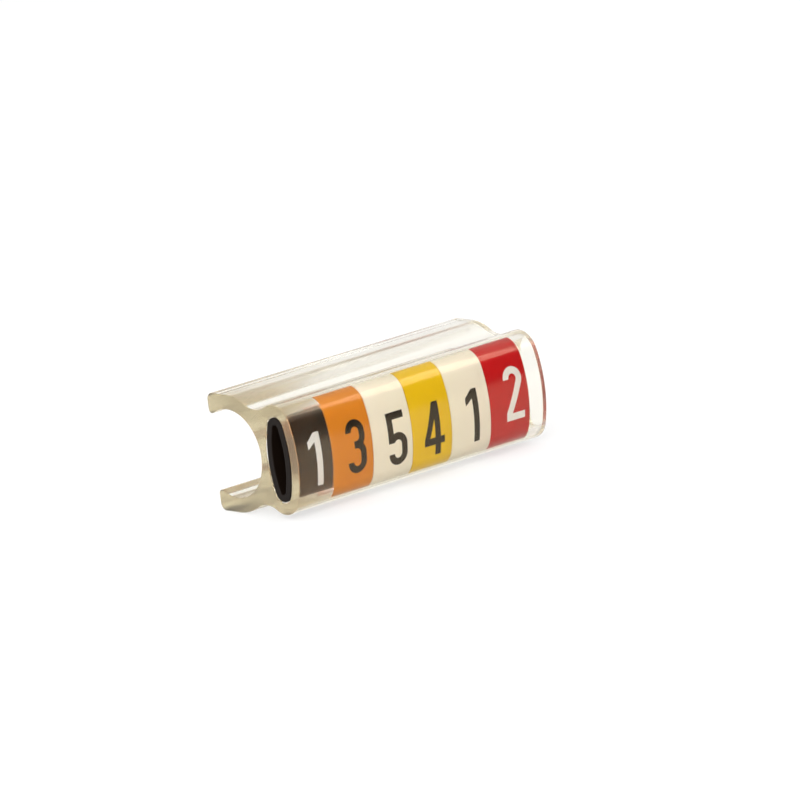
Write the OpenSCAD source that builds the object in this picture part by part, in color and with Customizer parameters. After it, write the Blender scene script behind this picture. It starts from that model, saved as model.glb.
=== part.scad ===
// Clip-on cable marker: a clear extruded carrier with six coloured number sleeves in its pocket.
// X runs along the carrier, the numbers face -Y and +Z is the top of the numbers.
// The origin is on the axis of the clip's round seat, half way along the carrier.

/* [Clip] */
// Diameter of the round seat inside the clip
seat_d = 4.2; // [3:0.1:8]
// Thickness of the two arms beside the seat
arm_t = 0.7; // [0.4:0.05:1.2]
// How far the arms reach behind the middle of the seat, which sets how far their lips close in
arm_reach = 1.3; // [0.8:0.05:1.6]
// Radius of the rounded lip at the end of each arm
lip_r = 0.2; // [0.1:0.05:0.4]
// Radius of the outer rear corner of each arm
corner_r = 0.35; // [0.1:0.05:0.6]

/* [Marker pocket] */
// Height of the oval pocket
pocket_h = 4.1; // [3.4:0.1:8]
// Depth of the oval pocket, front to back
pocket_d = 1.65; // [1.3:0.05:3]
// Radius of the round top and bottom of the pocket
pocket_r = 0.6; // [0.45:0.05:0.7]
// Thickness of the wall in front of, above and below the pocket
wall = 0.55; // [0.4:0.05:1]
// Thinnest part of the web between the pocket and the seat
web = 0.45; // [0.3:0.05:1]
// Radius of the long groove where the pocket joins the clip, top and bottom
groove_r = 1.5; // [0.6:0.1:4]
// Length of empty pocket past the last marker
end_room = 0.8; // [0:0.02:3]

/* [Markers] */
// Width of each marker along the carrier
marker_w = 2.38; // [1.5:0.01:5]
// Gap between neighbouring markers
marker_gap = 0.02; // [0.01:0.01:0.5]
// Clearance between a marker and the pocket, all round
marker_clearance = 0.05; // [0.02:0.01:0.15]
// Wall thickness of each hollow marker
marker_t = 0.35; // [0.2:0.05:0.5]

/* [Hidden] */

$fn = 96;

marker_colours = ["#2b2420", "#e08a2c", "#f5efe2", "#ecc72c", "#f5efe2", "#b5141c"];
marker_count = len(marker_colours);
marker_pitch = marker_w + marker_gap;
carrier_l = marker_count * marker_pitch - marker_gap + end_room;

// Overlap that lets two arcs cross cleanly where they would only just touch
merge = 0.005;

// Clip: the seat's radius, its outside, and the centre of each round lip
seat_r = seat_d / 2;
clip_r = seat_r + arm_t;
lip_y = arm_reach - lip_r;
lip_z = sqrt(pow(seat_r + lip_r - merge, 2) - pow(lip_y, 2));

// Pocket: its middle, and the centre and outside radius of its round top
pocket_y = -(seat_r + web + pocket_d / 2);
top_z = pocket_h / 2 - pocket_r;
top_r = pocket_r + wall;

// Groove: its centre lies where it touches both the clip's outside and the pocket's round top
clip_reach = clip_r + groove_r - merge;
top_reach = top_r + groove_r - merge;
centres = norm([pocket_y, top_z]);
along = (pow(clip_reach, 2) - pow(top_reach, 2) + pow(centres, 2)) / (2 * centres);
across = sqrt(pow(clip_reach, 2) - pow(along, 2));
groove_at = [
    (pocket_y * along + top_z * across) / centres,
    (top_z * along - pocket_y * across) / centres
];

// Markers: the bore's round ends follow the outside, as far as its wall leaves room
bore_inset = marker_clearance + marker_t;
bore_r = max(pocket_r - bore_inset, marker_clearance);

// An upright oval of four arcs that meet smoothly, with r the radius of its top and bottom
module oval(height, depth, r) {
    half = depth / 2;
    end_z = height / 2 - r;
    side_r = (pow(half, 2) - pow(r, 2) + pow(end_z, 2)) / (2 * (half - r));
    meet_z = end_z * side_r / (side_r - r);
    intersection() {
        translate([side_r - half, 0]) circle(side_r);
        translate([half - side_r, 0]) circle(side_r);
        square([2 * depth, 2 * meet_z], center = true);
    }
    for (side = [-1, 1]) {
        translate([0, side * end_z]) circle(r);
    }
}

// The pocket's oval, grown by a margin all round, or shrunk by a negative one
module pocket_oval(margin, r) {
    translate([pocket_y, 0]) {
        oval(pocket_h + 2 * margin, pocket_d + 2 * margin, r);
    }
}

// Both halves of a section that is alike above and below the middle
module top_and_bottom() {
    children();
    mirror([0, 1]) children();
}

// One arm behind the seat's middle, up to its rounded lip and outer corner
module arm_section() {
    polygon([
        [0, 0],
        [lip_y, lip_z],
        [arm_reach, lip_z],
        [arm_reach, clip_r - corner_r],
        [arm_reach - corner_r, clip_r],
        [0, clip_r]
    ]);
    translate([lip_y, lip_z]) circle(lip_r);
    translate([arm_reach - corner_r, clip_r - corner_r]) circle(corner_r);
}

// The web that fills the corner between the clip and the pocket, hollowed by the groove
module web_section() {
    difference() {
        polygon([[0, 0], groove_at, [pocket_y, top_z], [pocket_y, 0]]);
        translate(groove_at) circle(groove_r);
    }
}

// The whole extruded section, with depth drawn along x and height along y
module carrier_section() {
    difference() {
        union() {
            pocket_oval(wall, top_r);
            intersection() {
                circle(clip_r);
                translate([-2 * clip_r, -2 * clip_r]) square([2 * clip_r, 4 * clip_r]);
            }
            top_and_bottom() {
                arm_section();
                web_section();
            }
        }
        circle(seat_r);
        pocket_oval(0, pocket_r);
    }
}

// Extrudes a section along the carrier, from x = from
module along_carrier(from, length) {
    translate([from, 0, 0]) {
        rotate([90, 0, 90]) linear_extrude(length) children();
    }
}

module carrier() {
    color("#efe6cf", 0.45) {
        along_carrier(-carrier_l / 2, carrier_l) carrier_section();
    }
}

module marker(place) {
    color(marker_colours[place]) {
        along_carrier(-carrier_l / 2 + place * marker_pitch, marker_w) {
            difference() {
                pocket_oval(-marker_clearance, pocket_r - marker_clearance);
                pocket_oval(-bore_inset, bore_r);
            }
        }
    }
}

carrier();
for (place = [0 : marker_count - 1]) {
    marker(place);
}
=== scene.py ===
from math import acos, asin, atan2, ceil, cos, degrees, hypot, pi, radians, sin, sqrt

import bpy
from mathutils import Matrix, Vector


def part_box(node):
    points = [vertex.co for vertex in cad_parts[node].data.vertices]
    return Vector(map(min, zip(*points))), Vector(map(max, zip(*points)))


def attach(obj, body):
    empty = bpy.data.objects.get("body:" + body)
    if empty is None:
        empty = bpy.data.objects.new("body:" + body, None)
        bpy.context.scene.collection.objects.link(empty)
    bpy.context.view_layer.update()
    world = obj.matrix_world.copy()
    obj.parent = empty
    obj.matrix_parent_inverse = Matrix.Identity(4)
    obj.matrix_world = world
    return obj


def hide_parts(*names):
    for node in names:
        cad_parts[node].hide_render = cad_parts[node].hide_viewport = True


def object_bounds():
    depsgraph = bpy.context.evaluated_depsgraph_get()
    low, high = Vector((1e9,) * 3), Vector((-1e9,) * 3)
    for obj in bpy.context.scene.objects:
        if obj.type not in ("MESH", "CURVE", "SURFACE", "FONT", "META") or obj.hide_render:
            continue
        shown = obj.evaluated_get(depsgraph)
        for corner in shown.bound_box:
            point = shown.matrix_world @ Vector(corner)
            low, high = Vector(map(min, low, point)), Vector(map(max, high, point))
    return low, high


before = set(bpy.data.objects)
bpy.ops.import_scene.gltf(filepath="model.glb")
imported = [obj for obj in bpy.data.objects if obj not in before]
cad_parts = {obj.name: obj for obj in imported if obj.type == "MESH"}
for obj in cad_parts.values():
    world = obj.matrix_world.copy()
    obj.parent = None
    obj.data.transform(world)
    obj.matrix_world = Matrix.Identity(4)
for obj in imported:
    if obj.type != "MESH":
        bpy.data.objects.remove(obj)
cad_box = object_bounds()


# Carrier
# One length of clear plasticised PVC, extruded through a die and cut square with a blade at both ends.
# In front is the oval pocket that takes the markers, and behind it the open round clip.
# Sizes are in millimetres and angles in degrees.
MM = 0.001
carrier_low, carrier_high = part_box("carrier")
CARRIER_START = carrier_low.x / MM
CARRIER_LENGTH = (carrier_high.x - carrier_low.x) / MM
CLIP_R = carrier_high.z / MM
ARM_T = 0.7
ARM_REACH = carrier_high.y / MM
SEAT_R = CLIP_R - ARM_T
LIP_R = 0.2
CORNER_R = 0.35
WALL = 0.55
POCKET_HALF_DEPTH = 0.825
POCKET_HALF_HEIGHT = 2.05
POCKET_END_R = 0.6
POCKET_Y = carrier_low.y / MM + WALL + POCKET_HALF_DEPTH
SMALLEST_END_R = 0.05
GROOVE_R = 1.5
BLADE_EDGE_R = 0.025
ARC_STEP = 2.0
ARC_FEWEST_STEPS = 3
SAME_PLACE = 0.00001


def arc(centre, radius, start, end):
    """Points along an arc, from the start angle to the end angle, as depth and height."""
    steps = max(ARC_FEWEST_STEPS, ceil(abs(end - start) / ARC_STEP))
    angles = [radians(start + (end - start) * i / steps) for i in range(steps + 1)]
    return [(centre[0] + radius * cos(a), centre[1] + radius * sin(a)) for a in angles]


def oval_sizes(margin):
    """The pocket's oval grown by margin: half its depth, its ends' radius and height, its sides' radius."""
    half_depth = POCKET_HALF_DEPTH + margin
    end_r = max(POCKET_END_R + margin, SMALLEST_END_R)
    end_z = POCKET_HALF_HEIGHT + margin - end_r
    side_r = (half_depth**2 - end_r**2 + end_z**2) / (2 * (half_depth - end_r))
    return half_depth, end_r, end_z, side_r


def oval(margin):
    """The pocket's oval grown by margin, counter-clockwise: four arcs that meet smoothly."""
    half_depth, end_r, end_z, side_r = oval_sizes(margin)
    side_at = side_r - half_depth
    turn = degrees(atan2(end_z, side_at))
    return (
        arc((POCKET_Y + side_at, 0), side_r, 180 - turn, 180 + turn)
        + arc((POCKET_Y, -end_z), end_r, 180 + turn, 360 - turn)
        + arc((POCKET_Y - side_at, 0), side_r, -turn, turn)
        + arc((POCKET_Y, end_z), end_r, turn, 180 - turn)
    )


def lower_half():
    """The lower half of the carrier's outline, from its front, round the arm, to the front of the seat."""
    half_depth, end_r, end_z, side_r = oval_sizes(WALL)
    turn = degrees(atan2(end_z, side_r - half_depth))
    end_at = (POCKET_Y, -end_z)
    # The groove's centre lies where it touches both the clip's outside and the pocket's round end.
    clip_reach = CLIP_R + GROOVE_R
    end_reach = end_r + GROOVE_R
    apart = hypot(*end_at)
    along = (clip_reach**2 - end_reach**2 + apart**2) / (2 * apart)
    across = sqrt(clip_reach**2 - along**2)
    groove_at = (
        (POCKET_Y * along + end_z * across) / apart,
        -(end_z * along - POCKET_Y * across) / apart,
    )
    from_end = degrees(atan2(groove_at[1] - end_at[1], groove_at[0] - end_at[0])) + 360
    from_clip = degrees(atan2(groove_at[1], groove_at[0])) + 360
    lip_y = ARM_REACH - LIP_R
    lip_z = sqrt((SEAT_R + LIP_R) ** 2 - lip_y**2)
    lip_turn = degrees(atan2(lip_z, lip_y))
    corner_at = (ARM_REACH - CORNER_R, CORNER_R - CLIP_R)
    return (
        arc((POCKET_Y + side_r - half_depth, 0), side_r, 180, 180 + turn)
        + arc(end_at, end_r, 180 + turn, from_end)
        + arc(groove_at, GROOVE_R, from_end - 180, from_clip - 180)
        + arc((0, 0), CLIP_R, from_clip, 270)
        + arc(corner_at, CORNER_R, 270, 360)
        + arc((lip_y, -lip_z), LIP_R, 0, 180 - lip_turn)
        + arc((0, 0), SEAT_R, -lip_turn, -180)
    )


def carrier_outline():
    """The carrier's whole outline, counter-clockwise: the lower half, and the upper half as its mirror."""
    lower = lower_half()
    return lower + [(depth, -height) for depth, height in reversed(lower[1:-1])]


def tidy_loop(points):
    """A loop without the points that lie on the one before."""
    pairs = zip(points, points[-1:] + points[:-1])
    return [p for p, before in pairs if hypot(p[0] - before[0], p[1] - before[1]) > SAME_PLACE]


def outline_object(name, loops):
    """A flat curve object with one closed spline for each loop."""
    data = bpy.data.curves.new(name, "CURVE")
    data.dimensions = "3D"
    for loop in loops:
        loop = tidy_loop(loop)
        spline = data.splines.new("POLY")
        spline.points.add(len(loop) - 1)
        spline.points.foreach_set("co", [c for x, y in loop for c in (x, y, 0, 1)])
        spline.use_cyclic_u = True
    outline = bpy.data.objects.new(name, data)
    bpy.context.scene.collection.objects.link(outline)
    return outline


def add(tree, kind, inputs=None, **settings):
    """Adds a node with its settings, and fills its inputs with values or with links from other nodes."""
    made = tree.nodes.new(kind)
    for name, value in settings.items():
        setattr(made, name, value)
    for name, value in (inputs or {}).items():
        if isinstance(value, bpy.types.Node):
            value = next(s for s in value.outputs if s.enabled)
        if isinstance(value, bpy.types.NodeSocket):
            tree.links.new(value, made.inputs[name])
        else:
            made.inputs[name].default_value = value
    return made


def new_tree(name, inputs):
    """An empty geometry tree that takes an outline and the named inputs, and gives a piece."""
    tree = bpy.data.node_groups.new(name, "GeometryNodeTree")
    tree.interface.new_socket("Outline", in_out="INPUT", socket_type="NodeSocketGeometry")
    for label, kind in inputs.items():
        tree.interface.new_socket(label, in_out="INPUT", socket_type=kind)
    tree.interface.new_socket("Piece", in_out="OUTPUT", socket_type="NodeSocketGeometry")
    return tree, add(tree, "NodeGroupInput").outputs


def end_tree(tree, geometry, material):
    """Ends a geometry tree: the piece is scaled to metres, made a real mesh and given its material."""
    in_metres = add(tree, "GeometryNodeTransform", {"Geometry": geometry, "Scale": (MM, MM, MM)})
    realized = add(tree, "GeometryNodeRealizeInstances", {"Geometry": in_metres})
    finished = add(tree, "GeometryNodeSetMaterial", {"Geometry": realized, "Material": material})
    add(tree, "NodeGroupOutput", {"Piece": finished})


# The walls are swept round each loop of the section, and the section itself closes both ends. At each end the
# wall turns in by twice the edge radius, which leaves room to ease the blade-cut edge.
EDGE_STEPS = 4
SEAM_WIDTH = 0.0005
cut_length, given = new_tree(
    "Cut length of a section",
    {
        "Start": "NodeSocketFloat",
        "Length": "NodeSocketFloat",
        "Edge radius": "NodeSocketFloat",
        "Material": "NodeSocketMaterial",
    },
)
loops = add(cut_length, "GeometryNodeSetCurveNormal", {"Curve": given["Outline"]}, mode="Z_UP")
inset = add(cut_length, "ShaderNodeMath", {0: given["Edge radius"], 1: -2.0}, operation="MULTIPLY")
far_end = add(cut_length, "ShaderNodeMath", {0: given["Length"], 1: -1.0}, operation="MULTIPLY")
wall_line = add(
    cut_length,
    "GeometryNodeCurvePrimitiveQuadrilateral",
    {
        "Point 1": add(cut_length, "ShaderNodeCombineXYZ", {"X": inset}),
        "Point 2": (0, 0, 0),
        "Point 3": add(cut_length, "ShaderNodeCombineXYZ", {"Y": far_end}),
        "Point 4": add(cut_length, "ShaderNodeCombineXYZ", {"X": inset, "Y": far_end}),
    },
    mode="POINTS",
)
open_line = add(cut_length, "GeometryNodeSetSplineCyclic", {"Geometry": wall_line, "Cyclic": False})
eased_line = add(
    cut_length,
    "GeometryNodeFilletCurve",
    {"Curve": open_line, "Radius": given["Edge radius"], "Count": EDGE_STEPS, "Limit Radius": True},
    mode="POLY",
)
swept = add(cut_length, "GeometryNodeCurveToMesh", {"Curve": loops, "Profile Curve": eased_line})
walls = add(cut_length, "GeometryNodeFlipFaces", {"Mesh": swept})
smooth_walls = add(cut_length, "GeometryNodeSetShadeSmooth", {"Geometry": walls, "Shade Smooth": True})
inward = add(
    cut_length,
    "ShaderNodeVectorMath",
    {0: add(cut_length, "GeometryNodeInputNormal"), "Scale": inset},
    operation="SCALE",
)
end_loops = add(cut_length, "GeometryNodeSetPosition", {"Geometry": loops, "Offset": inward})
end_face = add(cut_length, "GeometryNodeFillCurve", {"Curve": end_loops}, mode="TRIANGLES")
flat_end = add(cut_length, "GeometryNodeSetShadeSmooth", {"Geometry": end_face, "Shade Smooth": False})
marked_end = add(
    cut_length,
    "GeometryNodeStoreNamedAttribute",
    {"Geometry": flat_end, "Name": "blade_cut", "Value": 1.0},
    data_type="FLOAT",
    domain="FACE",
)
near_end = add(cut_length, "GeometryNodeFlipFaces", {"Mesh": marked_end})
away = add(cut_length, "ShaderNodeCombineXYZ", {"Z": given["Length"]})
other_end = add(cut_length, "GeometryNodeTransform", {"Geometry": marked_end, "Translation": away})
joined = add(cut_length, "GeometryNodeJoinGeometry")
for surface in (smooth_walls, near_end, other_end):
    cut_length.links.new(surface.outputs[0], joined.inputs[0])
closed = add(cut_length, "GeometryNodeMergeByDistance", {"Geometry": joined, "Distance": SEAM_WIDTH})
place = add(cut_length, "ShaderNodeSeparateXYZ", {0: add(cut_length, "GeometryNodeInputPosition")})
from_start = add(cut_length, "ShaderNodeMath", {0: place.outputs["Z"], 1: given["Start"]}, operation="ADD")
turned = add(
    cut_length,
    "ShaderNodeCombineXYZ",
    {"X": from_start, "Y": place.outputs["X"], "Z": place.outputs["Y"]},
)
laid = add(cut_length, "GeometryNodeSetPosition", {"Geometry": closed, "Position": turned})
end_tree(cut_length, laid, given["Material"])


def make_piece(name, loops, tree, values):
    """Runs a geometry tree on the loops with the given inputs, and keeps the result as a plain mesh."""
    outline = outline_object(name + "_outline", loops)
    modifier = outline.modifiers.new("Shape", "NODES")
    modifier.node_group = tree
    for item in tree.interface.items_tree:
        if item.name in values:
            modifier[item.identifier] = values[item.name]
    solid = outline.evaluated_get(bpy.context.evaluated_depsgraph_get())
    mesh = bpy.data.meshes.new_from_object(solid)
    mesh.name = name
    bpy.data.objects.remove(outline)
    piece = bpy.data.objects.new(name, mesh)
    bpy.context.scene.collection.objects.link(piece)
    return piece


def linear(hex_colour):
    """An sRGB hex colour as linear red, green, blue and alpha."""
    shares = [int(hex_colour[i : i + 2], 16) / 255 for i in (1, 3, 5)]
    return [c / 12.92 if c <= 0.04045 else ((c + 0.055) / 1.055) ** 2.4 for c in shares] + [1.0]


def new_material(name):
    """A material and its node tree, which is still empty."""
    material = bpy.data.materials.new(name)
    material.use_nodes = True
    material.node_tree.nodes.clear()
    return material, material.node_tree


# Clear plasticised PVC: glossy from the die, with faint lines along its length, and slightly yellowed, which
# warms both its depth and its reflections. The blade leaves the cut ends slightly matt, with marks along its
# stroke. The real lines and marks are finer: here they are drawn as coarse as they need to show.
PVC_IOR = 1.53
DIE_LINE_SPACING = 0.12 * MM
DIE_LINE_STRETCH = 50
BLADE_MARK_SPACING = 0.1 * MM
BLADE_MARK_STRETCH = 25
BLADE_MARK_DEPTH = 6.0
BLADE_STROKE = 25
RELIEF_DEPTH = 0.01 * MM
RELIEF_STRENGTH = 0.05
DIE_ROUGHNESS = 0.14
CUT_ROUGHNESS = 0.22
CUT_CLEARNESS = 0.97
YELLOWING_PER_METRE = 50.0
clear_pvc, shader = new_material("Clear plasticised PVC, extruded")
object_place = add(shader, "ShaderNodeTexCoord").outputs["Object"]
along_die = add(
    shader,
    "ShaderNodeMapping",
    {"Vector": object_place, "Scale": (1 / DIE_LINE_STRETCH, 1, 1)},
)
die_lines = add(
    shader,
    "ShaderNodeTexNoise",
    {"Vector": along_die, "Scale": 1 / DIE_LINE_SPACING, "Detail": 2.0, "Roughness": 0.5},
)
along_stroke = add(
    shader,
    "ShaderNodeMapping",
    {
        "Vector": object_place,
        "Rotation": (radians(BLADE_STROKE), 0, 0),
        "Scale": (1, 1 / BLADE_MARK_STRETCH, 1),
    },
)
blade_marks = add(
    shader,
    "ShaderNodeTexNoise",
    {"Vector": along_stroke, "Scale": 1 / BLADE_MARK_SPACING, "Detail": 2.0, "Roughness": 0.5},
)
deep_marks = add(
    shader,
    "ShaderNodeMapRange",
    {"Value": blade_marks.outputs[0], "To Max": BLADE_MARK_DEPTH},
)
cut_ends = add(shader, "ShaderNodeAttribute", attribute_name="blade_cut", attribute_type="GEOMETRY")
# A Mix node's inputs go by number: 0 is the share, 2 and 3 are its two floats, 6 and 7 its two colours.
relief = add(
    shader,
    "ShaderNodeMix",
    {0: cut_ends.outputs["Fac"], 2: die_lines.outputs[0], 3: deep_marks},
    data_type="FLOAT",
)
relief_bump = add(
    shader,
    "ShaderNodeBump",
    {"Height": relief.outputs[0], "Strength": RELIEF_STRENGTH, "Distance": RELIEF_DEPTH},
)
gloss = add(
    shader,
    "ShaderNodeMapRange",
    {"Value": cut_ends.outputs["Fac"], "To Min": DIE_ROUGHNESS, "To Max": CUT_ROUGHNESS},
)
# The cut ends' warmer base colour is painted light: it stands in for the yellow of light that has run a long
# way inside the wall and comes out at the ends.
cut_end_painted_tint = add(
    shader,
    "ShaderNodeMix",
    {0: cut_ends.outputs["Fac"], 6: linear("#fefbf3"), 7: linear("#f8f2e2")},
    data_type="RGBA",
)
clearness = add(
    shader,
    "ShaderNodeMapRange",
    {"Value": cut_ends.outputs["Fac"], "To Min": 1.0, "To Max": CUT_CLEARNESS},
)
# All but the first of the soft sleeves press on the wall of the pocket, and no air is left between them:
# there, in front, above and below, the wall neither bends nor mirrors the light.
PRESSED_IOR = 1.0
PRESSED_FORWARD = 0.35
PRESSED_Y = (POCKET_Y - PRESSED_FORWARD) * MM
PRESSED_HALF_DEPTH = 0.95 * MM
PRESSED_HALF_HEIGHT = 2.33 * MM
PRESSED_FROM = (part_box("marker_black_1")[1].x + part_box("marker_orange_3")[0].x) / 2
PRESSED_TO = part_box("marker_red_2")[1].x
from_pocket = add(
    shader,
    "ShaderNodeMapping",
    {
        "Vector": object_place,
        "Location": (0, -PRESSED_Y / PRESSED_HALF_DEPTH, 0),
        "Scale": (0, 1 / PRESSED_HALF_DEPTH, 1 / PRESSED_HALF_HEIGHT),
    },
)
reach_out = add(shader, "ShaderNodeVectorMath", {0: from_pocket}, operation="LENGTH")
in_pocket = add(shader, "ShaderNodeMath", {0: reach_out.outputs["Value"], 1: 1.0}, operation="LESS_THAN")
along = add(shader, "ShaderNodeSeparateXYZ", {0: object_place}).outputs["X"]
past_start = add(shader, "ShaderNodeMath", {0: along, 1: PRESSED_FROM}, operation="GREATER_THAN")
short_of_end = add(shader, "ShaderNodeMath", {0: along, 1: PRESSED_TO}, operation="LESS_THAN")
by_sleeve = add(shader, "ShaderNodeMath", {0: past_start, 1: short_of_end}, operation="MULTIPLY")
pressed = add(shader, "ShaderNodeMath", {0: in_pocket, 1: by_sleeve}, operation="MULTIPLY")
bending = add(shader, "ShaderNodeMapRange", {"Value": pressed, "To Min": PVC_IOR, "To Max": PRESSED_IOR})
pvc_body = add(
    shader,
    "ShaderNodeBsdfPrincipled",
    {
        "Base Color": cut_end_painted_tint.outputs[2],
        "Roughness": gloss,
        "IOR": bending,
        "Specular Tint": linear("#ffe6c0"),
        "Transmission Weight": clearness,
        "Normal": relief_bump,
    },
)
pvc_tint = add(
    shader,
    "ShaderNodeVolumeAbsorption",
    {"Color": linear("#e6d78e"), "Density": YELLOWING_PER_METRE},
)
add(shader, "ShaderNodeOutputMaterial", {"Surface": pvc_body, "Volume": pvc_tint})

carrier = make_piece(
    "clear_carrier",
    [carrier_outline(), oval(0)[::-1]],
    cut_length,
    {
        "Start": CARRIER_START,
        "Length": CARRIER_LENGTH,
        "Edge radius": BLADE_EDGE_R,
        "Material": clear_pvc,
    },
)
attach(carrier, "root")
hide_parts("carrier")


# Markers
# Six hollow oval sleeves of coloured PVC, cut from an extruded tube of each colour.
# They are pushed one after the other into the pocket, and rest there by friction.
MARKER_CLEARANCE = 0.05
MARKER_T = 0.35
MARKER_EDGE_R = 0.03
marker_loops = [oval(-MARKER_CLEARANCE), oval(-MARKER_CLEARANCE - MARKER_T)[::-1]]
CLOUD_SIZE = 0.6 * MM
SKIN_SMOOTHEST = 0.28
SKIN_ROUGHEST = 0.4
SKIN_MIRROR = 0.1


def satin_pvc(name, colour, deep_colour):
    """Pigmented PVC as extruded: an even colour with a little cloudiness, and a satin skin."""
    material, tree = new_material(name)
    at = add(tree, "ShaderNodeTexCoord").outputs["Object"]
    cloud = add(tree, "ShaderNodeTexNoise", {"Vector": at, "Scale": 1 / CLOUD_SIZE, "Detail": 3.0})
    tone = add(
        tree,
        "ShaderNodeMix",
        {0: cloud.outputs[0], 6: linear(deep_colour), 7: linear(colour)},
        data_type="RGBA",
    )
    skin = add(
        tree,
        "ShaderNodeMapRange",
        {"Value": cloud.outputs[0], "To Min": SKIN_SMOOTHEST, "To Max": SKIN_ROUGHEST},
    )
    body = add(
        tree,
        "ShaderNodeBsdfPrincipled",
        {"Base Color": tone.outputs[2], "Roughness": skin, "Specular IOR Level": SKIN_MIRROR},
    )
    add(tree, "ShaderNodeOutputMaterial", {"Surface": body})
    return material


sleeve_pvc = {
    "black": satin_pvc("Black PVC, extruded", "#120b07", "#0d0805"),
    "orange": satin_pvc("Orange PVC, extruded", "#e8922f", "#de8322"),
    "white": satin_pvc("White PVC, extruded", "#fcf8ef", "#f8f3e7"),
    "yellow": satin_pvc("Yellow PVC, extruded", "#f4cc1c", "#ecc00c"),
    "red": satin_pvc("Red PVC, extruded", "#d0121c", "#c00c14"),
}
# Each marker's name and colour, its figure and ink, and how far right of and above the marker's middle
# the figure is printed
markers = [
    ("black_1", "black", "1", "white", (0.21, -0.22)),
    ("orange_3", "orange", "3", "black", (0.24, -0.18)),
    ("white_5", "white", "5", "black", (0.31, -0.39)),
    ("yellow_4", "yellow", "4", "black", (0.14, -0.47)),
    ("white_1", "white", "1", "black", (0.12, -0.44)),
    ("red_2", "red", "2", "white", (0.34, 0.01)),
]
for marker, colour, figure, ink, printed_at in markers:
    low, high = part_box("marker_" + marker)
    sleeve = make_piece(
        "sleeve_" + marker,
        marker_loops,
        cut_length,
        {
            "Start": low.x / MM,
            "Length": (high.x - low.x) / MM,
            "Edge radius": MARKER_EDGE_R,
            "Material": sleeve_pvc[colour],
        },
    )
    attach(sleeve, "root")
    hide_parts("marker_" + marker)


# Printed figures
# One figure on the front of each sleeve, in a thin film of ink stamped on the tube before it is cut.
# The strokes have one width and square ends, as in technical lettering.
INK_T = 0.008
INK_SINK = 0.003
INK_SEAM_WIDTH = 0.0002
BEND_STEP = 0.06
STROKE = 0.33
BOWL_R = 0.385
OUTER_R = BOWL_R + STROKE / 2
INNER_R = BOWL_R - STROKE / 2
FIGURE_SIDE = OUTER_R
FIGURE_TOP = 1.22
BAR_EDGE = FIGURE_TOP - STROKE
HIGH_BOWL = FIGURE_TOP - OUTER_R
LOW_BOWL = -HIGH_BOWL


def figure_one():
    """An upright stem with a slanted flag at its top left."""
    stem_left = 0.05
    stem_right = stem_left + STROKE
    top_left = 0.07
    flag_left = -0.36
    flag_tip = 0.86
    flag_low = 0.52
    flag_root = 0.8
    return [[
        (stem_left, -FIGURE_TOP),
        (stem_right, -FIGURE_TOP),
        (stem_right, FIGURE_TOP),
        (top_left, FIGURE_TOP),
        (flag_left, flag_tip),
        (flag_left, flag_low),
        (stem_left, flag_root),
    ]]


def figure_two():
    """A bowl that turns into a slanted stroke, down to a bar at the foot."""
    bowl_end = -28
    slant = (sin(radians(bowl_end)), -cos(radians(bowl_end)))
    outer = arc((0, HIGH_BOWL), OUTER_R, 180, bowl_end)
    inner = arc((0, HIGH_BOWL), INNER_R, bowl_end, 180)
    outer_run = (outer[-1][1] + BAR_EDGE) / -slant[1]
    inner_run = (inner[0][0] + FIGURE_SIDE) / -slant[0]
    foot = [
        (outer[-1][0] + outer_run * slant[0], -BAR_EDGE),
        (FIGURE_SIDE, -BAR_EDGE),
        (FIGURE_SIDE, -FIGURE_TOP),
        (-FIGURE_SIDE, -FIGURE_TOP),
        (-FIGURE_SIDE, inner[0][1] + inner_run * slant[1]),
    ]
    return [outer + foot + inner]


def figure_three():
    """Two open bowls, which meet in a short stub at the waist."""
    waist = 0.08
    stub = -0.12
    above = waist + BOWL_R
    below = waist - BOWL_R
    notch = degrees(asin(BOWL_R / OUTER_R))
    return [
        arc((0, HIGH_BOWL), OUTER_R, 180, 0)
        + arc((0, above), OUTER_R, 0, -notch)
        + arc((0, below), OUTER_R, notch, 0)
        + arc((0, LOW_BOWL), OUTER_R, 0, -180)
        + arc((0, LOW_BOWL), INNER_R, -180, 0)
        + arc((0, below), INNER_R, 0, 90)
        + [(stub, waist - STROKE / 2), (stub, waist + STROKE / 2)]
        + arc((0, above), INNER_R, -90, 0)
        + arc((0, HIGH_BOWL), INNER_R, 0, 180)
    ]


def figure_four():
    """An upright stem, a bar across it and a slanted stroke, which close in a triangle."""
    stem_left = 0.035
    stem_right = stem_left + STROKE
    bar_left = -0.62
    bar_right = 0.6
    bar_top = -0.4
    bar_bottom = bar_top - STROKE
    slant_top = 0.0
    slant_foot = -0.43
    hole_left = -0.29
    hole_top = 0.44
    outer = [
        (stem_left, -FIGURE_TOP),
        (stem_right, -FIGURE_TOP),
        (stem_right, bar_bottom),
        (bar_right, bar_bottom),
        (bar_right, bar_top),
        (stem_right, bar_top),
        (stem_right, FIGURE_TOP),
        (slant_top, FIGURE_TOP),
        (bar_left, slant_foot),
        (bar_left, bar_bottom),
        (stem_left, bar_bottom),
    ]
    return [outer, [(hole_left, bar_top), (stem_left, hole_top), (stem_left, bar_top)]]


def figure_five():
    """A bar at the top, a short stem down its left and an open bowl below."""
    bar_right = 0.47
    stem_right = -0.22
    stem_low = -0.16
    stem_meets = degrees(acos(stem_right / OUTER_R))
    bowl_top = -0.27
    bowl_start = 150
    bar = [
        (-FIGURE_SIDE, FIGURE_TOP),
        (bar_right, FIGURE_TOP),
        (bar_right, BAR_EDGE),
        (stem_right, BAR_EDGE),
    ]
    return [
        bar
        + arc((0, bowl_top), OUTER_R, stem_meets, 0)
        + arc((0, LOW_BOWL), OUTER_R, 0, -180)
        + arc((0, LOW_BOWL), INNER_R, -180, 0)
        + arc((0, bowl_top), INNER_R, 0, bowl_start)
        + [(-FIGURE_SIDE, stem_low)]
    ]


figures = {"1": figure_one, "2": figure_two, "3": figure_three, "4": figure_four, "5": figure_five}


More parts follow.
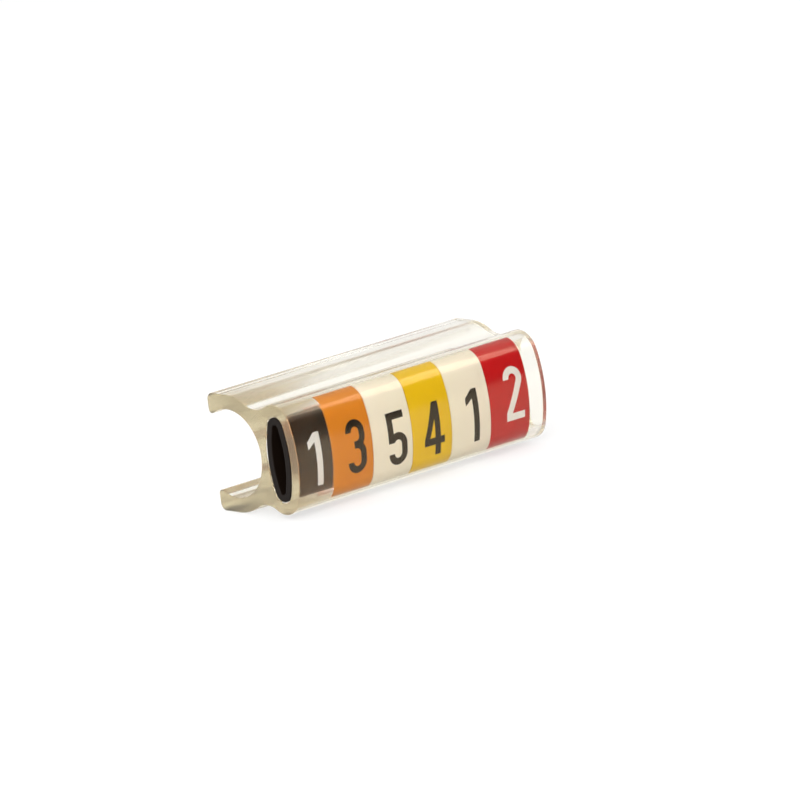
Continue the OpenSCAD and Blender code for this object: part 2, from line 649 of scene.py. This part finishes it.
def fine_loop(loop):
    """A loop with its long sides cut into short ones, so that it can bend."""
    fine = []
    for (x0, y0), (x1, y1) in zip(loop, loop[1:] + loop[:1]):
        cuts = max(1, ceil(hypot(x1 - x0, y1 - y0) / BEND_STEP))
        fine += [(x0 + (x1 - x0) * i / cuts, y0 + (y1 - y0) * i / cuts) for i in range(cuts)]
    return fine


# The flat figure is filled, given the thickness of the ink, and bent round the front of the sleeve.
printed, given = new_tree(
    "Figure printed on a round front",
    {
        "Centre": "NodeSocketFloat",
        "Rise": "NodeSocketFloat",
        "Front radius": "NodeSocketFloat",
        "Front axis": "NodeSocketFloat",
        "Ink thickness": "NodeSocketFloat",
        "Material": "NodeSocketMaterial",
    },
)
film = add(printed, "GeometryNodeFillCurve", {"Curve": given["Outline"]}, mode="TRIANGLES")
raised = add(
    printed,
    "GeometryNodeExtrudeMesh",
    {"Mesh": film, "Offset": (0, 0, 1), "Offset Scale": given["Ink thickness"], "Individual": False},
    mode="FACES",
)
under = add(printed, "GeometryNodeFlipFaces", {"Mesh": film})
both = add(printed, "GeometryNodeJoinGeometry")
for surface in (raised, under):
    printed.links.new(surface.outputs[0], both.inputs[0])
ink_solid = add(printed, "GeometryNodeMergeByDistance", {"Geometry": both, "Distance": INK_SEAM_WIDTH})
flat = add(printed, "ShaderNodeSeparateXYZ", {0: add(printed, "GeometryNodeInputPosition")})
risen = add(printed, "ShaderNodeMath", {0: flat.outputs["Y"], 1: given["Rise"]}, operation="ADD")
bend = add(printed, "ShaderNodeMath", {0: risen, 1: given["Front radius"]}, operation="DIVIDE")
reach = add(printed, "ShaderNodeMath", {0: flat.outputs["Z"], 1: given["Front radius"]}, operation="ADD")
bend_sin = add(printed, "ShaderNodeMath", {0: bend}, operation="SINE")
bend_cos = add(printed, "ShaderNodeMath", {0: bend}, operation="COSINE")
height = add(printed, "ShaderNodeMath", {0: reach, 1: bend_sin}, operation="MULTIPLY")
outward = add(printed, "ShaderNodeMath", {0: reach, 1: bend_cos}, operation="MULTIPLY")
depth = add(printed, "ShaderNodeMath", {0: given["Front axis"], 1: outward}, operation="SUBTRACT")
sideways = add(printed, "ShaderNodeMath", {0: flat.outputs["X"], 1: given["Centre"]}, operation="ADD")
bent_place = add(printed, "ShaderNodeCombineXYZ", {"X": sideways, "Y": depth, "Z": height})
wrapped = add(printed, "GeometryNodeSetPosition", {"Geometry": ink_solid, "Position": bent_place})
flat_faces = add(printed, "GeometryNodeSetShadeSmooth", {"Geometry": wrapped, "Shade Smooth": False})
end_tree(printed, flat_faces, given["Material"])

PATCH_SIZE = 0.25 * MM
INK_ROUGHNESS = 0.6
INK_MIRROR = 0.1


def stamped_ink(name, colour, thin_colour):
    """Matt ink as stamped, a little thinner in small patches."""
    material, tree = new_material(name)
    at = add(tree, "ShaderNodeTexCoord").outputs["Object"]
    patches = add(tree, "ShaderNodeTexNoise", {"Vector": at, "Scale": 1 / PATCH_SIZE, "Detail": 4.0})
    tone = add(
        tree,
        "ShaderNodeMix",
        {0: patches.outputs[0], 6: linear(thin_colour), 7: linear(colour)},
        data_type="RGBA",
    )
    body = add(
        tree,
        "ShaderNodeBsdfPrincipled",
        {"Base Color": tone.outputs[2], "Roughness": INK_ROUGHNESS, "Specular IOR Level": INK_MIRROR},
    )
    add(tree, "ShaderNodeOutputMaterial", {"Surface": body})
    return material


inks = {
    "black": stamped_ink("Black ink, stamped", "#1c1713", "#2c241e"),
    "white": stamped_ink("White ink, stamped", "#fdfdff", "#eff1f6"),
}
front_half_depth, _, _, front_r = oval_sizes(-MARKER_CLEARANCE)
for marker, colour, figure, ink, printed_at in markers:
    low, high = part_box("marker_" + marker)
    print_piece = make_piece(
        "figure_" + figure + "_on_" + marker,
        [fine_loop(loop) for loop in figures[figure]()],
        printed,
        {
            "Centre": (low.x + high.x) / 2 / MM + printed_at[0],
            "Rise": printed_at[1],
            "Front radius": front_r - INK_SINK,
            "Front axis": POCKET_Y - front_half_depth + front_r,
            "Ink thickness": INK_T + INK_SINK,
            "Material": inks[ink],
        },
    )
    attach(print_piece, "root")


# Studio
# A white matt table in a pale room, whose darker corner at the front right shows in the label's gloss.
# Soft boxes stand overhead, at the front left and at the front right. Their sizes are in metres.
FLOOR_GAP = 0.02 * MM
FLOOR_Z = cad_box[0][2] - FLOOR_GAP
FLOOR_R = 1.5
WHITE_SHARE = 0.6
floor_mesh = bpy.data.meshes.new("table_top")
corners = [(-FLOOR_R, -FLOOR_R), (FLOOR_R, -FLOOR_R), (FLOOR_R, FLOOR_R), (-FLOOR_R, FLOOR_R)]
floor_mesh.from_pydata([(x, y, FLOOR_Z) for x, y in corners], [], [(0, 1, 2, 3)])
table_top = bpy.data.objects.new("table_top", floor_mesh)
scene = bpy.context.scene
scene.collection.objects.link(table_top)
# White matt board: even and without gloss. Seen directly, mirrored or through the clear walls, it is
# nearly white.
white_board, tree = new_material("White matt board")
board = add(tree, "ShaderNodeBsdfDiffuse", {"Color": linear("#f2f2f1")})
white = add(tree, "ShaderNodeEmission", {"Color": (1, 1, 1, 1), "Strength": 1.0})
path = add(tree, "ShaderNodeLightPath").outputs
seen = add(tree, "ShaderNodeMath", {0: path["Is Camera Ray"], 1: path["Is Glossy Ray"]}, operation="MAXIMUM")
shown = add(tree, "ShaderNodeMath", {0: seen, 1: path["Is Transmission Ray"]}, operation="MAXIMUM")
share = add(tree, "ShaderNodeMath", {0: shown, 1: WHITE_SHARE}, operation="MULTIPLY")
board_look = add(tree, "ShaderNodeMixShader", {0: share, 1: board, 2: white})
add(tree, "ShaderNodeOutputMaterial", {"Surface": board_look})
floor_mesh.materials.append(white_board)

# Light runs along inside the clear walls, and leaves them after many reflections.
BOUNCES = 32
scene.cycles.max_bounces = BOUNCES
scene.cycles.glossy_bounces = BOUNCES
scene.cycles.transmission_bounces = BOUNCES
scene.view_settings.view_transform = "Standard"

# The corner darkens between two angles from its middle, which are given by their cosines.
DARK_CORNER = Vector((0.62, -0.77, 0.14)).normalized()
CORNER_EDGE = 0.8
CORNER_CORE = 0.93
ROOM_LEVEL = 0.95
CORNER_LEVEL = 0.1
room = bpy.data.worlds.new("Pale room")
scene.world = room
room.use_nodes = True
tree = room.node_tree
tree.nodes.clear()
direction = add(tree, "ShaderNodeTexCoord").outputs["Generated"]
nearness = add(tree, "ShaderNodeVectorMath", {0: direction, 1: DARK_CORNER}, operation="DOT_PRODUCT")
level = add(
    tree,
    "ShaderNodeMapRange",
    {
        "Value": nearness.outputs["Value"],
        "From Min": CORNER_EDGE,
        "From Max": CORNER_CORE,
        "To Min": ROOM_LEVEL,
        "To Max": CORNER_LEVEL,
    },
    interpolation_type="SMOOTHSTEP",
)
air = add(tree, "ShaderNodeBackground", {"Color": (1, 1, 1, 1), "Strength": level})
add(tree, "ShaderNodeOutputWorld", {"Surface": air})


def soft_box(name, place, size, radiance):
    """A square soft box that faces the origin, bright enough to look radiance times as bright as white."""
    data = bpy.data.lights.new(name, "AREA")
    data.shape = "SQUARE"
    data.size = size
    data.energy = radiance * pi * size**2
    lamp = bpy.data.objects.new(name, data)
    scene.collection.objects.link(lamp)
    lamp.location = place
    lamp.rotation_euler = (-Vector(place)).to_track_quat("-Z", "Y").to_euler()


soft_box("overhead_box", place=(-0.02, 0.04, 0.16), size=0.12, radiance=1.0)
soft_box("front_box", place=(-0.22, -0.16, 0.08), size=0.2, radiance=8.0)
soft_box("right_box", place=(0.154, -0.125, 0.145), size=0.1, radiance=3.5)


# Camera
# A long lens from the front left, a little above the label, rolled so that the marker leans in the picture.
# It puts the anchor, the middle of the pocket's left end, at its pixel. The distance is in metres.
AZIMUTH = -39.1
ELEVATION = 12.4
ROLL = 7.3
DISTANCE = 0.5
PIXELS_PER_MM = 21.83
ANCHOR = Vector((CARRIER_START, POCKET_Y, 0.0)) * MM
ANCHOR_PIXEL = (278.8, 460.2)
IMAGE_SIDE = 800
SENSOR = 36.0

towards_camera = Vector((
    sin(radians(AZIMUTH)) * cos(radians(ELEVATION)),
    -cos(radians(AZIMUTH)) * cos(radians(ELEVATION)),
    sin(radians(ELEVATION)),
))
level_right = Vector((cos(radians(AZIMUTH)), sin(radians(AZIMUTH)), 0))
level_up = towards_camera.cross(level_right)
lean = radians(ROLL)
right = level_right * cos(lean) - level_up * sin(lean)
up = level_up * cos(lean) + level_right * sin(lean)
metres_per_pixel = MM / PIXELS_PER_MM
aim = (
    ANCHOR
    - right * (ANCHOR_PIXEL[0] - IMAGE_SIDE / 2) * metres_per_pixel
    + up * (ANCHOR_PIXEL[1] - IMAGE_SIDE / 2) * metres_per_pixel
)
camera_data = bpy.data.cameras.new("camera")
camera_data.sensor_fit = "HORIZONTAL"
camera_data.sensor_width = SENSOR
camera_data.lens = SENSOR * DISTANCE / (IMAGE_SIDE * metres_per_pixel)
camera_data.clip_start = 0.01
camera_data.clip_end = 10
camera = bpy.data.objects.new("camera", camera_data)
scene.collection.objects.link(camera)
camera_turn = Matrix((right, up, towards_camera)).transposed().to_4x4()
camera.matrix_world = Matrix.Translation(aim + towards_camera * DISTANCE) @ camera_turn
scene.camera = camera
